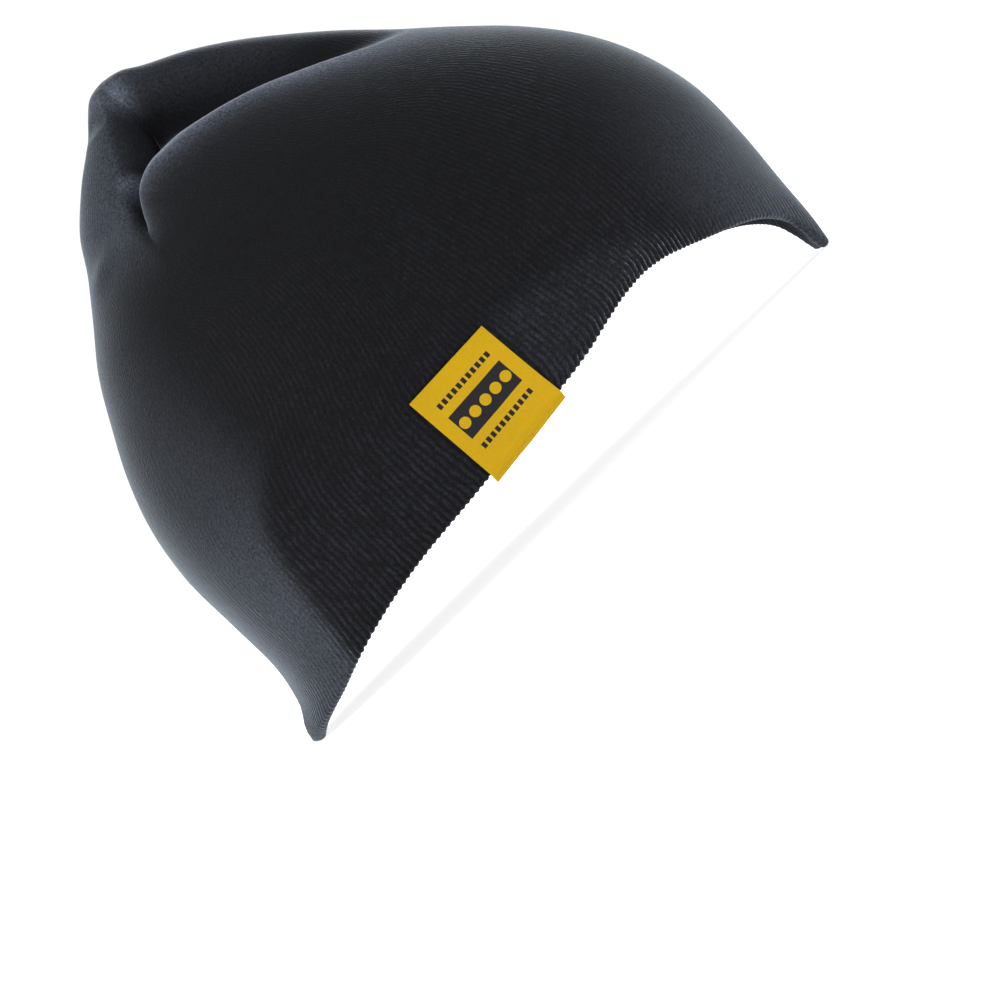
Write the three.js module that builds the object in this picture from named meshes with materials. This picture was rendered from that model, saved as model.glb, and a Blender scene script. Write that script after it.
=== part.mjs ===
// A knit skull cap in its worn shape, standing on its rim.
// It is one tube of rib jersey folded double at the rim, so that two layers make one soft wall.
// The slack of the crown stands up as a narrow crest from front to back. On each side of it is a valley,
// then a rounded shoulder, and a dart's crease runs down from the tip behind them.
// A square woven label is folded over the rim on the cap's right side.
// Millimetres. +X is the brow, -X the nape, -Y the right side, +Z up, and the rim stands on z = 0.

import * as THREE from 'three';

const WALL = 3.0; // two layers of jersey
const RIM_ROUND = 1.1; // height of the rounded fold at the rim
const RIM_INSET = 0.6; // how far the rim's flat foot lies inside each face
const COLUMNS = 80; // facets around the cap
const SIDE_STEP = 0.9; // spacing of the rings on the smooth sides, in rows of the table
const CROWN_STEP = 0.42; // and on the folded crown
const CROWN_ROW = 8; // the row where the crown's folds begin
const WALL_LEAN = 0.33; // how far the wall leans from square to the smooth form to square to its folds
const LEVEL_ROWS = 2; // the wall is level at the rim, and square to its face from this row up
const NAPE_WIDENING = 0.05; // the cap is widest behind its middle
const LEFT_FOLDS = 0.8; // the folds of the left side are a little shallower
const RISE_FADE = 125; // the height where the rim's rise has died out

const LABEL_WIDTH = 29.7;
const LABEL_THICKNESS = 0.7;
const LABEL_GAP = 0.45; // clear of the knit
const LABEL_BASE_X = -1.05; // middle of its folded edge, seen from the side
const LABEL_TOP_X = -3.7; // middle of its top edge
const LABEL_TOP_Z = 53.9;
const LABEL_TOP_RISE = 1.6; // the front end of its top edge over the back end
const LABEL_DROOP = 2.1; // how far the fold hangs below the rim, on its inside
const LABEL_INNER_SHARE = 0.9; // length of the leg inside the cap, to the outer one
const LABEL_COLUMNS = 8;
const LABEL_ROWS = 6;

// Level sections of the outer face, from the rim to the tip: height, ends, half width, and how square
// the corners are at the front and at the back (2 is an ellipse).
const SECTIONS = [
  { z: 0.0, back: -107.5, front: 103.5, side: 76.0, power: 2.15, backPower: 2.25 },
  { z: 10.0, back: -103.3, front: 105.0, side: 77.5, power: 2.2, backPower: 2.5 },
  { z: 24.0, back: -100.0, front: 105.9, side: 79.5, power: 2.25, backPower: 2.7 },
  { z: 42.0, back: -100.2, front: 107.2, side: 81.5, power: 2.25, backPower: 2.7 },
  { z: 60.0, back: -101.0, front: 106.9, side: 82.5, power: 2.2, backPower: 2.35 },
  { z: 78.0, back: -98.8, front: 102.4, side: 81.0, power: 2.1, backPower: 2.05 },
  { z: 94.0, back: -93.3, front: 94.4, side: 77.0, power: 2.0, backPower: 1.95 },
  { z: 109.0, back: -85.6, front: 82.5, side: 70.5, power: 2.0, backPower: 2.0 },
  { z: 122.0, back: -78.0, front: 69.1, side: 62.5, power: 2.0, backPower: 2.0 },
  { z: 134.0, back: -68.5, front: 55.6, side: 52.5, power: 1.95, backPower: 1.95 },
  { z: 145.0, back: -60.0, front: 43.9, side: 42.0, power: 1.9, backPower: 1.9 },
  { z: 155.0, back: -53.5, front: 32.1, side: 33.0, power: 1.85, backPower: 1.85 },
  { z: 164.0, back: -44.2, front: 20.4, side: 25.5, power: 1.85, backPower: 1.85 },
  { z: 172.0, back: -33.8, front: 7.8, side: 18.5, power: 1.9, backPower: 1.9 },
  { z: 178.0, back: -27.8, front: -4.4, side: 12.0, power: 1.95, backPower: 1.95 },
  { z: 181.6, back: -23.8, front: -10.6, side: 7.0, power: 2.0, backPower: 2.0 },
  { z: 183.0, back: -19.5, front: -16.5, side: 2.0, power: 2.0, backPower: 2.0 },
];
const TOP = SECTIONS.length - 1;

// The rim's rise over the floor, by the angle round the cap from the brow (0) to the nape (180).
const RIM_RISE = [
  { turn: 0, rise: 0.0 },
  { turn: 7, rise: 0.0 },
  { turn: 10, rise: 2.8 },
  { turn: 13, rise: 7.6 },
  { turn: 17, rise: 13.1 },
  { turn: 23, rise: 17.6 },
  { turn: 30, rise: 21.6 },
  { turn: 38, rise: 25.2 },
  { turn: 44, rise: 27.8 },
  { turn: 50, rise: 30.8 },
  { turn: 55, rise: 32.9 },
  { turn: 60, rise: 33.8 },
  { turn: 65, rise: 33.2 },
  { turn: 70, rise: 31.6 },
  { turn: 76, rise: 29.0 },
  { turn: 83, rise: 26.7 },
  { turn: 91, rise: 24.3 },
  { turn: 100, rise: 21.9 },
  { turn: 110, rise: 19.9 },
  { turn: 119, rise: 17.3 },
  { turn: 128, rise: 13.9 },
  { turn: 136, rise: 10.3 },
  { turn: 143, rise: 7.4 },
  { turn: 150, rise: 5.2 },
  { turn: 157, rise: 3.0 },
  { turn: 163, rise: 1.1 },
  { turn: 168, rise: 0.0 },
  { turn: 180, rise: 0.0 },
];

// The shoulder's ridge seen from the side, and the depth of the valley above it.
const SHOULDER = [
  { x: -62.0, z: 143.5, valley: 11.0 },
  { x: -46.0, z: 151.0, valley: 13.5 },
  { x: -31.0, z: 156.2, valley: 15.0 },
  { x: -22.0, z: 157.8, valley: 15.3 },
  { x: -13.0, z: 157.6, valley: 15.0 },
  { x: -2.0, z: 156.0, valley: 14.6 },
  { x: 12.0, z: 152.6, valley: 12.9 },
  { x: 29.0, z: 145.6, valley: 9.0 },
  { x: 48.0, z: 136.4, valley: 4.0 },
  { x: 62.0, z: 129.4, valley: 0.0 },
  { x: 78.0, z: 117.0, valley: 0.0 },
];
const VALLEY_LIP = 0.2; // the valley starts below the ridge and is deepest above it, in shares of the
const VALLEY_FLOOR = 0.38; // height from the ridge to the cap's outline
const MIN_CREST = 4.0; // least height of the crest over the shoulder
const CREST_HALF = 7.0; // the folds fade out over this half width of the crest

// The dart's crease seen from the side, and its depth.
const DART = [
  { z: 134.0, x: -38.8, depth: 0.0 },
  { z: 140.0, x: -38.6, depth: 1.4 },
  { z: 145.0, x: -37.8, depth: 4.0 },
  { z: 153.0, x: -34.0, depth: 6.0 },
  { z: 160.5, x: -28.8, depth: 5.5 },
  { z: 168.5, x: -24.4, depth: 4.0 },
  { z: 176.5, x: -20.2, depth: 2.0 },
  { z: 182.0, x: -18.5, depth: 0.5 },
];
const DART_WIDTH = 3.2; // the crease grows shallow over this length
const DART_BANK = { from: -1.5, to: 3.5 }; // the valley ends over this stretch ahead of the crease

const KNIT = new THREE.MeshStandardMaterial({ name: 'knit', color: 0x1f2025, roughness: 0.95, metalness: 0 });
const WOVEN = new THREE.MeshStandardMaterial({ name: 'woven', color: 0xd0a81c, roughness: 0.7, metalness: 0 });

const { clamp, lerp, smoothstep, radToDeg } = THREE.MathUtils;

// The value of a table's column where its key column has the value at, on a curve with no overshoot.
function lookUp(table, keyName, at, name) {
  const last = table.length - 1;
  const key = clamp(at, table[0][keyName], table[last][keyName]);
  const span = (i) => table[i + 1][keyName] - table[i][keyName];
  const slope = (i) => (table[i + 1][name] - table[i][name]) / span(i);
  const tangent = (i) => {
    if (i === 0) return slope(0);
    if (i === last) return slope(last - 1);
    if (slope(i - 1) * slope(i) <= 0) return 0;
    const before = 2 * span(i) + span(i - 1);
    const after = span(i) + 2 * span(i - 1);
    return (before + after) / (before / slope(i - 1) + after / slope(i));
  };
  let i = 0;
  while (i < last - 1 && key > table[i + 1][keyName]) i += 1;
  const t = (key - table[i][keyName]) / span(i);
  return (
    (1 + 2 * t) * (1 - t) ** 2 * table[i][name] +
    t * (1 - t) ** 2 * span(i) * tangent(i) +
    t * t * (3 - 2 * t) * table[i + 1][name] +
    t * t * (t - 1) * span(i) * tangent(i + 1)
  );
}

// A section between the table's rows, on a Catmull-Rom curve through them.
function sectionAt(row) {
  const i = Math.min(Math.floor(row), TOP - 1);
  const four = [i - 1, i, i + 1, i + 2].map((k) => SECTIONS[clamp(k, 0, TOP)]);
  const t = row - i;
  const section = {};
  for (const name of Object.keys(SECTIONS[0])) {
    const [a, b, c, d] = four.map((r) => r[name]);
    section[name] =
      0.5 * (2 * b + (c - a) * t + (2 * a - 5 * b + 4 * c - d) * t * t + (3 * b - a - 3 * c + d) * t * t * t);
  }
  return section;
}

// The smooth form without folds. The angle turns from the brow towards the left side.
function hullPoint(angle, row) {
  const { z, back, front, side, power, backPower } = sectionAt(row);
  const corner = Math.cos(angle) < 0 ? backPower : power;
  const squared = (v) => Math.sign(v) * Math.abs(v) ** (2 / corner);
  const along = squared(Math.cos(angle));
  const across = squared(Math.sin(angle)) * (1 - NAPE_WIDENING * along);
  const turn = radToDeg(Math.acos(Math.cos(angle)));
  const rise = lookUp(RIM_RISE, 'turn', turn, 'rise') * (1 - clamp(z / RISE_FADE, 0, 1)) ** 2;
  return new THREE.Vector3((front + back) / 2 + ((front - back) / 2) * along, side * across, z + rise);
}

// The outward normal of a face that is given by a function of the angle and the row.
function normalOf(face, angle, row) {
  const step = 1e-3;
  const around = face(angle + step, row).sub(face(angle - step, row));
  const up = face(angle, Math.min(row + step, TOP)).sub(face(angle, Math.max(row - step, 0)));
  return around.cross(up).normalize();
}

// The front half of the cap's outline seen from the side, from the tip down to where it stops widening.
const widest = SECTIONS.findIndex((section, i) => section.front > SECTIONS[i + 1].front);
const CROWN_OUTLINE = SECTIONS.slice(widest + 1).reverse();

// How far the folds of the crown lie inside the smooth form.
function foldDepth({ x, y, z }) {
  const outline = lookUp(CROWN_OUTLINE, 'front', x, 'z');
  const ridge = lookUp(SHOULDER, 'x', x, 'z');
  const share = (z - ridge) / Math.max(outline - ridge, MIN_CREST);
  const valley = smoothstep(share, -VALLEY_LIP, VALLEY_FLOOR) * (1 - smoothstep(share, VALLEY_FLOOR, 1));
  const ahead = x - lookUp(DART, 'z', z, 'x');
  const bank = smoothstep(ahead, DART_BANK.from, DART_BANK.to);
  const dart = lookUp(DART, 'z', z, 'depth') * Math.exp(-Math.abs(ahead) / DART_WIDTH);
  const depth = lookUp(SHOULDER, 'x', x, 'valley') * valley * bank + dart;
  return depth * smoothstep(Math.abs(y), 0, CREST_HALF) * (y < 0 ? 1 : LEFT_FOLDS);
}

// The smooth form's outward direction, turned level at the rim.
function outwardsAt(angle, row) {
  const outwards = normalOf(hullPoint, angle, row);
  outwards.z *= Math.min(row / LEVEL_ROWS, 1);
  return outwards.normalize();
}

function outerPoint(angle, row) {
  const hull = hullPoint(angle, row);
  return hull.clone().addScaledVector(outwardsAt(angle, row), -foldDepth(hull));
}

// A point at a depth below the outer face. The depth runs halfway between the smooth form's direction and
// the folded face's own, so that the wall keeps its thickness on the steep sides of a fold.
function clothPoint(angle, row, depth) {
  const outwards = outwardsAt(angle, row);
  if (row > CROWN_ROW - 1) outwards.lerp(normalOf(outerPoint, angle, row), WALL_LEAN).normalize();
  return outerPoint(angle, row).addScaledVector(outwards, -depth);
}

// The angle on the right side where a level section reaches the place x.
function rightAngle(x, row) {
  const { back, front, power, backPower } = sectionAt(row);
  const along = (x - (front + back) / 2) / ((front - back) / 2);
  const corner = along < 0 ? backPower : power;
  return -Math.acos(Math.sign(along) * Math.abs(along) ** (corner / 2));
}

// The row where the right side at the place x has the height z, by halving.
function rightRow(x, z) {
  let low = 0;
  let high = CROWN_ROW;
  for (let halving = 0; halving < 30; halving += 1) {
    const middle = (low + high) / 2;
    if (hullPoint(rightAngle(x, middle), middle).z < z) low = middle;
    else high = middle;
  }
  return (low + high) / 2;
}

function meshOf(name, points, index, material) {
  const geometry = new THREE.BufferGeometry().setFromPoints(points);
  geometry.setIndex(index);
  geometry.computeVertexNormals();
  const mesh = new THREE.Mesh(geometry, material);
  mesh.name = name;
  return mesh;
}

// The outer face from the tip down to the rim, the rounded rim, and the inner face back up.
function knitShell() {
  const angles = Array.from({ length: COLUMNS }, (_, k) => (2 * Math.PI * k) / COLUMNS);
  const rows = [];
  for (let row = RIM_ROUND / SECTIONS[1].z; row < CROWN_ROW; row += SIDE_STEP) rows.push(row);
  for (let row = CROWN_ROW; row < TOP - CROWN_STEP / 2; row += CROWN_STEP) rows.push(row);
  const ring = (row, depth) => angles.map((angle) => clothPoint(angle, row, depth));
  const innerRows = rows.filter((row) => sectionAt(row).side > 4 * WALL);
  const rings = [
    ...rows.map((row) => ring(row, 0)).reverse(),
    ring(0, RIM_INSET),
    ring(0, WALL - RIM_INSET),
    ...innerRows.map((row) => ring(row, WALL)),
  ];
  const tip = SECTIONS[TOP];
  const tipX = (tip.front + tip.back) / 2;
  const points = [
    new THREE.Vector3(tipX, 0, tip.z),
    ...rings.flat(),
    new THREE.Vector3(tipX, 0, sectionAt(innerRows.at(-1)).z - WALL / 2),
  ];
  const index = [];
  const lastRing = 1 + (rings.length - 1) * COLUMNS;
  for (let k = 0; k < COLUMNS; k += 1) {
    const next = (k + 1) % COLUMNS;
    index.push(0, 1 + k, 1 + next);
    for (let from = 1; from < lastRing; from += COLUMNS) {
      index.push(from + k, from + COLUMNS + k, from + COLUMNS + next);
      index.push(from + k, from + COLUMNS + next, from + next);
    }
    index.push(lastRing + k, points.length - 1, lastRing + next);
  }
  return meshOf('knit_shell', points, index, KNIT);
}

// The label: a strip of constant thickness up the outer face, round the rim and up the inner face.
function hemLabel() {
  const half = LABEL_WIDTH / 2;
  const legShares = Array.from({ length: LABEL_ROWS }, (_, k) => 1 - k / LABEL_ROWS);
  const foldAngles = Array.from({ length: LABEL_ROWS + 1 }, (_, k) => (Math.PI * k) / LABEL_ROWS);
  const rings = [];
  for (let column = 0; column <= LABEL_COLUMNS; column += 1) {
    const across = lerp(-1, 1, column / LABEL_COLUMNS);
    const baseX = LABEL_BASE_X + across * half;
    const baseAngle = rightAngle(baseX, 0);
    const base = hullPoint(baseAngle, 0);
    const outwards = outwardsAt(baseAngle, 0);
    const topX = LABEL_TOP_X + across * half;
    const topZ = LABEL_TOP_Z + (across * LABEL_TOP_RISE) / 2;
    const leg = (share, depth) => {
      const x = lerp(baseX, topX, share);
      const row = rightRow(x, lerp(base.z, topZ, share));
      return clothPoint(rightAngle(x, row), row, depth);
    };
    const fold = (angle, out) => {
      const middle = base.clone().addScaledVector(outwards, -WALL / 2 + (WALL / 2 + out) * Math.cos(angle));
      middle.z -= (LABEL_DROOP + out) * Math.sin(angle);
      return middle;
    };
    const side = (out) => [
      ...legShares.map((share) => leg(share, -out)),
      ...foldAngles.map((angle) => fold(angle, out)),
      ...legShares.map((share) => leg(share * LABEL_INNER_SHARE, WALL + out)).reverse(),
    ];
    rings.push([...side(LABEL_GAP + LABEL_THICKNESS), ...side(LABEL_GAP).reverse()]);
  }
  const count = rings[0].length;
  const index = [];
  for (let k = 0; k < count; k += 1) {
    const next = (k + 1) % count;
    for (let from = 0; from < LABEL_COLUMNS * count; from += count) {
      index.push(from + k, from + next, from + count + next);
      index.push(from + k, from + count + next, from + count + k);
    }
  }
  const far = LABEL_COLUMNS * count;
  for (let k = 0; k < count / 2 - 1; k += 1) {
    const facing = count - 1 - k;
    index.push(k, facing, k + 1);
    index.push(facing, facing - 1, k + 1);
    index.push(far + k, far + k + 1, far + facing);
    index.push(far + facing, far + k + 1, far + facing - 1);
  }
  return meshOf('hem_label', rings.flat(), index, WOVEN);
}

const cap = new THREE.Group();
cap.add(knitShell(), hemLabel());

export default cap;
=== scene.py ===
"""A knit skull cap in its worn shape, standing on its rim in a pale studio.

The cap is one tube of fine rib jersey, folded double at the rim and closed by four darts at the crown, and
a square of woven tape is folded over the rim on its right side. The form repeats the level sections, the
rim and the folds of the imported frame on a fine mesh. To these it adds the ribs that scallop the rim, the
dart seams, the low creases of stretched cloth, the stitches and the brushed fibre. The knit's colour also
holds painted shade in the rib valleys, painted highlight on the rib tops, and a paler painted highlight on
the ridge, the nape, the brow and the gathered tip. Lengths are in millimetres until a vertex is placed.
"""

import logging
from dataclasses import astuple, dataclass
from enum import Enum
from functools import cached_property
from math import cos, pi, radians, sin
from typing import Callable, Sequence

import bmesh
import bpy
import numpy as np
from mathutils import Matrix, Vector

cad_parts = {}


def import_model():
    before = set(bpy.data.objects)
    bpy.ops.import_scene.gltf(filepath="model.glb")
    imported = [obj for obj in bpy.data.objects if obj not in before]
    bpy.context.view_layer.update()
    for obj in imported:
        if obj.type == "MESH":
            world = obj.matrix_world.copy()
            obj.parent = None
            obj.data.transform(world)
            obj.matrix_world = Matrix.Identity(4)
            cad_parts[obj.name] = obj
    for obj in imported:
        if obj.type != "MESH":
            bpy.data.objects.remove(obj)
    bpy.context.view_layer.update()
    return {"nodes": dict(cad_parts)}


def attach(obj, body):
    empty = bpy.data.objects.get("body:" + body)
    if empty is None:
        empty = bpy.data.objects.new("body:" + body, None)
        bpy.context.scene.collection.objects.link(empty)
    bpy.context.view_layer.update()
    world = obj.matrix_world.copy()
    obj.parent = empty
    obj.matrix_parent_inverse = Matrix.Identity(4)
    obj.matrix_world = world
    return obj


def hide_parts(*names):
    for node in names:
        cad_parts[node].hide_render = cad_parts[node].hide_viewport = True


LOG = logging.getLogger("skull_cap")
MILLIMETRE = 0.001
WHITE = (1.0, 1.0, 1.0, 1.0)
Colour = tuple[float, float, float, float]
Socket = bpy.types.NodeSocket
Array = np.ndarray
Points = np.ndarray
Face = Callable[[Array, Array], Points]


class Finish(Enum):
    """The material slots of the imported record."""

    KNIT = "rib_knit"
    TAPE = "woven_label"


class Cover(Enum):
    """The nodes of the frame that the finished pieces stand for."""

    CAP = "knit_shell"
    LABEL = "hem_label"


@dataclass(frozen=True)
class Section:
    """A level section of the outer face, with the squareness of its corners (2 is an ellipse)."""

    z: float
    back: float
    front: float
    side: float
    power: float
    back_power: float


SECTIONS = tuple(
    Section(*sizes)
    for sizes in (
        (0.0, -107.5, 103.5, 76.0, 2.15, 2.25),
        (10.0, -103.3, 105.0, 77.5, 2.2, 2.5),
        (24.0, -100.0, 105.9, 79.5, 2.25, 2.7),
        (42.0, -100.2, 107.2, 81.5, 2.25, 2.7),
        (60.0, -101.0, 106.9, 82.5, 2.2, 2.35),
        (78.0, -98.8, 102.4, 81.0, 2.1, 2.05),
        (94.0, -93.3, 94.4, 77.0, 2.0, 1.95),
        (109.0, -85.6, 82.5, 70.5, 2.0, 2.0),
        (122.0, -78.0, 69.1, 62.5, 2.0, 2.0),
        (134.0, -68.5, 55.6, 52.5, 1.95, 1.95),
        (145.0, -60.0, 43.9, 42.0, 1.9, 1.9),
        (155.0, -53.5, 32.1, 33.0, 1.85, 1.85),
        (164.0, -44.2, 20.4, 25.5, 1.85, 1.85),
        (172.0, -33.8, 7.8, 18.5, 1.9, 1.9),
        (178.0, -27.8, -4.4, 12.0, 1.95, 1.95),
        (181.6, -23.8, -10.6, 7.0, 2.0, 2.0),
        (183.0, -19.5, -16.5, 2.0, 2.0, 2.0),
    )
)
TIP_ROW = len(SECTIONS) - 1


class SmoothCurve:
    """A curve through points that never overshoots them."""

    def __init__(self, points: Sequence[tuple[float, float]]) -> None:
        """Works out the slope at each point.

        Args:
            points: Pairs of a place and the curve's value there, with the places rising.
        """
        self.places = np.array([place for place, _ in points], float)
        self.values = np.array([value for _, value in points], float)
        spans = np.diff(self.places)
        slopes = np.diff(self.values) / spans
        inner = np.zeros(len(slopes) - 1)
        same_way = slopes[:-1] * slopes[1:] > 0
        before = (2 * spans[1:] + spans[:-1])[same_way]
        after = (spans[1:] + 2 * spans[:-1])[same_way]
        lower = slopes[:-1][same_way]
        upper = slopes[1:][same_way]
        inner[same_way] = (before + after) / (before / lower + after / upper)
        self.tangents = np.concatenate((slopes[:1], inner, slopes[-1:]))

    def at(self, place: Array) -> Array:
        """Reads the curve.

        Args:
            place: Where it is read. Past either end, the end's value holds.

        Returns:
            The values there.
        """
        key = np.clip(place, self.places[0], self.places[-1])
        i = np.clip(np.searchsorted(self.places, key, side="right") - 1, 0, len(self.places) - 2)
        span = self.places[i + 1] - self.places[i]
        t = (key - self.places[i]) / span
        start = (1 + 2 * t) * (1 - t) ** 2 * self.values[i]
        start += t * (1 - t) ** 2 * span * self.tangents[i]
        end = t * t * (3 - 2 * t) * self.values[i + 1]
        end += t * t * (t - 1) * span * self.tangents[i + 1]
        return start + end


def curves(rows: Sequence[tuple[float, ...]]) -> list[SmoothCurve]:
    """A curve for each column after the first one, which holds their places."""
    places, *columns = zip(*rows)
    return [SmoothCurve(tuple(zip(places, column))) for column in columns]


def smooth_step(value: Array, start: float, end: float) -> Array:
    """Changes from 0 at the start to 1 at the end, with level ends. The end may be the lower number."""
    t = np.clip((np.asarray(value, float) - start) / (end - start), 0, 1)
    return t * t * (3 - 2 * t)


def swell(value: Array, middle: float, reach: float) -> Array:
    """A smooth hump that is 1 at its middle and 0 from its reach on."""
    return smooth_step(np.abs(np.asarray(value, float) - middle), reach, 0)


def unit(vectors: Points) -> Points:
    """The same directions with a length of one."""
    return vectors / np.linalg.norm(vectors, axis=1, keepdims=True)


@dataclass(frozen=True)
class Spot:
    """A small soft place of the cap as it is seen from the side, with its middle, reaches and strength."""

    x: float
    z: float
    reach_x: float
    reach_z: float
    strength: float

    def at(self, x: Array, z: Array) -> Array:
        """How strong the spot is at each place."""
        far = ((x - self.x) / self.reach_x) ** 2 + ((z - self.z) / self.reach_z) ** 2
        return self.strength * np.exp(-far)


@dataclass
class WornForm:
    """The outer face of the cap as it is worn, as a function of an angle and a row of SECTIONS.

    The angle turns from the brow towards the left side. Rows may lie between those of the table.
    """

    rise_fade: float = 125.0
    nape_widening: float = 0.05
    left_folds: float = 0.8
    level_rows: float = 2.0
    wall_lean: float = 0.33
    crown_row: float = 8.0
    valley_lip: float = 0.2
    valley_floor: float = 0.38
    least_crest: float = 4.0
    crest_half: float = 7.0
    crest_flare: float = 19.0
    dart_width: float = 2.0
    bank_start: float = -2.5
    bank_end: float = 1.5
    temple_slope: float = 0.2
    temple_flare: float = 4.5
    temple_dip: float = 1.5
    nape_edge_height: float = 2.7
    nape_edge_reach: float = 9.0
    nape_edge_blend: float = 5.0
    nape_roll: float = 1.5
    nape_fullness: float = 0.4
    knob_foot: float = 173.6
    lobe_height: float = 0.7
    groove_height: float = -0.7
    gather_height: float = 0.9
    dent: Spot = Spot(-44.5, 149.5, 5.5, 4.5, -0.9)
    bud: Spot = Spot(-15.5, 177.0, 3.6, 3.2, 0.9)
    # painted highlight: a paler spot on the tip bud, and the strengths of the paler colour that stands in
    # for light on the curl, crest, back, brow and temple
    painted_bud_highlight: Spot = Spot(-17.0, 179.0, 5.0, 3.6, 0.7)
    painted_curl_highlight: float = 0.75
    painted_crest_highlight: float = 0.13
    painted_back_highlight: float = 0.25
    painted_brow_highlight: float = 0.31
    painted_temple_highlight: float = 0.04

    def __post_init__(self) -> None:
        """Sets up the curves of the rim, the shoulder, the dart and the low creases."""
        self.table = np.array([astuple(section) for section in SECTIONS])
        self.rim_rise = SmoothCurve(
            (
                (0, 0), (7, 0), (10, 2.8), (13, 7.6), (17, 13.1), (23, 17.6), (30, 21.6),
                (38, 25.2), (44, 27.8), (50, 30.8), (55, 32.9), (60, 33.8), (65, 33.2), (70, 31.6),
                (76, 29), (83, 26.7), (91, 24.3), (100, 21.9), (110, 19.9), (119, 17.3), (128, 13.9),
                (136, 10.3), (143, 7.4), (150, 5.2), (157, 3), (163, 1.1), (168, 0), (180, 0),
            )
        )
        self.shoulder, self.valley_depth = curves(
            (
                (-62, 143.5, 11), (-46, 151, 13.5), (-31, 156.2, 15), (-22, 157.8, 15.3),
                (-13, 157.6, 15), (-2, 155.7, 14.6), (12, 151.7, 12.6), (29, 144.2, 8.2),
                (48, 134.6, 3.2), (62, 128.2, 0), (78, 117, 0),
            )
        )
        self.dart_place, self.dart_depth = curves(
            (
                (134, -38.8, 0), (140, -38.6, 1.4), (145, -37.8, 4), (153, -34, 6),
                (160.5, -28.8, 5.5), (168.5, -24.4, 4), (176.5, -20.2, 2), (182, -18.5, 0.5),
            )
        )
        widest = int(np.argmax(self.table[:-1, 2] > self.table[1:, 2]))
        outline = self.table[widest + 1 :][::-1]
        self.crown_outline = SmoothCurve([(row[2], row[0]) for row in outline])
        self.temple_edge = SmoothCurve(((2, 54), (16, 53.5), (35, 51), (56, 43), (67, 35.4), (76, 28)))

    def section_at(self, row: Array) -> Array:
        """Reads the table of sections on a Catmull-Rom curve.

        Args:
            row: The places in the table.

        Returns:
            The six columns of SECTIONS there.
        """
        i = np.minimum(np.floor(row).astype(int), TIP_ROW - 1)
        t = (row - i)[:, None]
        a, b, c, d = (self.table[np.clip(i + k, 0, TIP_ROW)] for k in (-1, 0, 1, 2))
        bend = (2 * a - 5 * b + 4 * c - d) * t * t + (3 * b - a - 3 * c + d) * t * t * t
        return (0.5 * (2 * b + (c - a) * t + bend)).T

    def hull(self, angle: Array, row: Array) -> Points:
        """The smooth form without its folds.

        Args:
            angle: The angles round the cap.
            row: The places in the table of sections.

        Returns:
            A point for each pair.
        """
        z, back, front, side, power, back_power = self.section_at(row)
        cosine = np.cos(angle)
        sine = np.sin(angle)
        corner = np.where(cosine < 0, back_power, power)
        along = np.sign(cosine) * np.abs(cosine) ** (2 / corner)
        across = np.sign(sine) * np.abs(sine) ** (2 / corner) * (1 - self.nape_widening * along)
        turn = np.degrees(np.arccos(np.clip(cosine, -1, 1)))
        rise = self.rim_rise.at(turn) * (1 - np.clip(z / self.rise_fade, 0, 1)) ** 2
        middle = (front + back) / 2
        return np.stack((middle + (front - back) / 2 * along, side * across, z + rise), axis=1)

    def normals(self, face: Face, angle: Array, row: Array) -> Points:
        """Outward directions of a face that is a function of the angle and the row.

        Args:
            face: The function, such as hull or outer.
            angle: The angles round the cap.
            row: The places in the table of sections.

        Returns:
            A unit vector for each pair.
        """
        step = 1e-3
        around = face(angle + step, row) - face(angle - step, row)
        up = face(angle, np.minimum(row + step, TIP_ROW)) - face(angle, np.maximum(row - step, 0))
        return unit(np.cross(around, up))

    def outwards(self, angle: Array, row: Array) -> Points:
        """The hull's outward directions, turned level at the rim."""
        directions = self.normals(self.hull, angle, row)
        directions[:, 2] *= np.minimum(row / self.level_rows, 1)
        return unit(directions)

    def fold_depth(self, points: Points) -> Array:
        """How far the folds of the crown lie inside the hull.

        Args:
            points: Points of the hull.

        Returns:
            A depth for each of them.
        """
        x, y, z = points.T
        ridge = self.shoulder.at(x)
        crest = np.maximum(self.crown_outline.at(x) - ridge, self.least_crest)
        share = (z - ridge) / crest
        valley = smooth_step(share, -self.valley_lip, self.valley_floor)
        valley = valley * smooth_step(share, 1, self.valley_floor)
        ahead = x - self.dart_place.at(z)
        bank = smooth_step(ahead, self.bank_start, self.bank_end)
        dart = self.dart_depth.at(z) * np.exp(-np.abs(ahead) / self.dart_width)
        depth = self.valley_depth.at(x) * valley * bank + dart
        half = self.crest_half + self.crest_flare * smooth_step(x, -18, 34)
        return depth * smooth_step(np.abs(y) / half, 0, 1) * np.where(y < 0, 1, self.left_folds)

    def soft_relief(self, points: Points) -> Array:
        """The low creases of the stretched cloth, as heights over the folded form.

        Args:
            points: Points of the hull.

        Returns:
            A height for each of them.
        """
        x, y, z = points.T
        below = self.temple_edge.at(x) - z
        flare = self.temple_slope * (np.sqrt(below * below + 4) + below) / 2
        flare = np.minimum(flare, self.temple_flare) - self.temple_dip * swell(below, -8, 14)
        flare = flare * smooth_step(x, 4, 22) * smooth_step(x, 80, 64)
        past = self.past_nape_edge(points)
        edge = self.nape_edge_height * np.exp(-(np.sqrt(past * past + 2.2) - 1.5) / self.nape_edge_reach)
        edge = edge * smooth_step(x, -44, -66) * smooth_step(z, 84, 58)
        nape = self.nape_roll * swell(z, 5, 7) * smooth_step(-x, 90, 104)
        nape = nape + self.nape_fullness * swell(z, 42, 44) * smooth_step(-x, 55, 90)
        return (flare + edge) * np.where(y < 0, 1, self.left_folds) + nape

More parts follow.
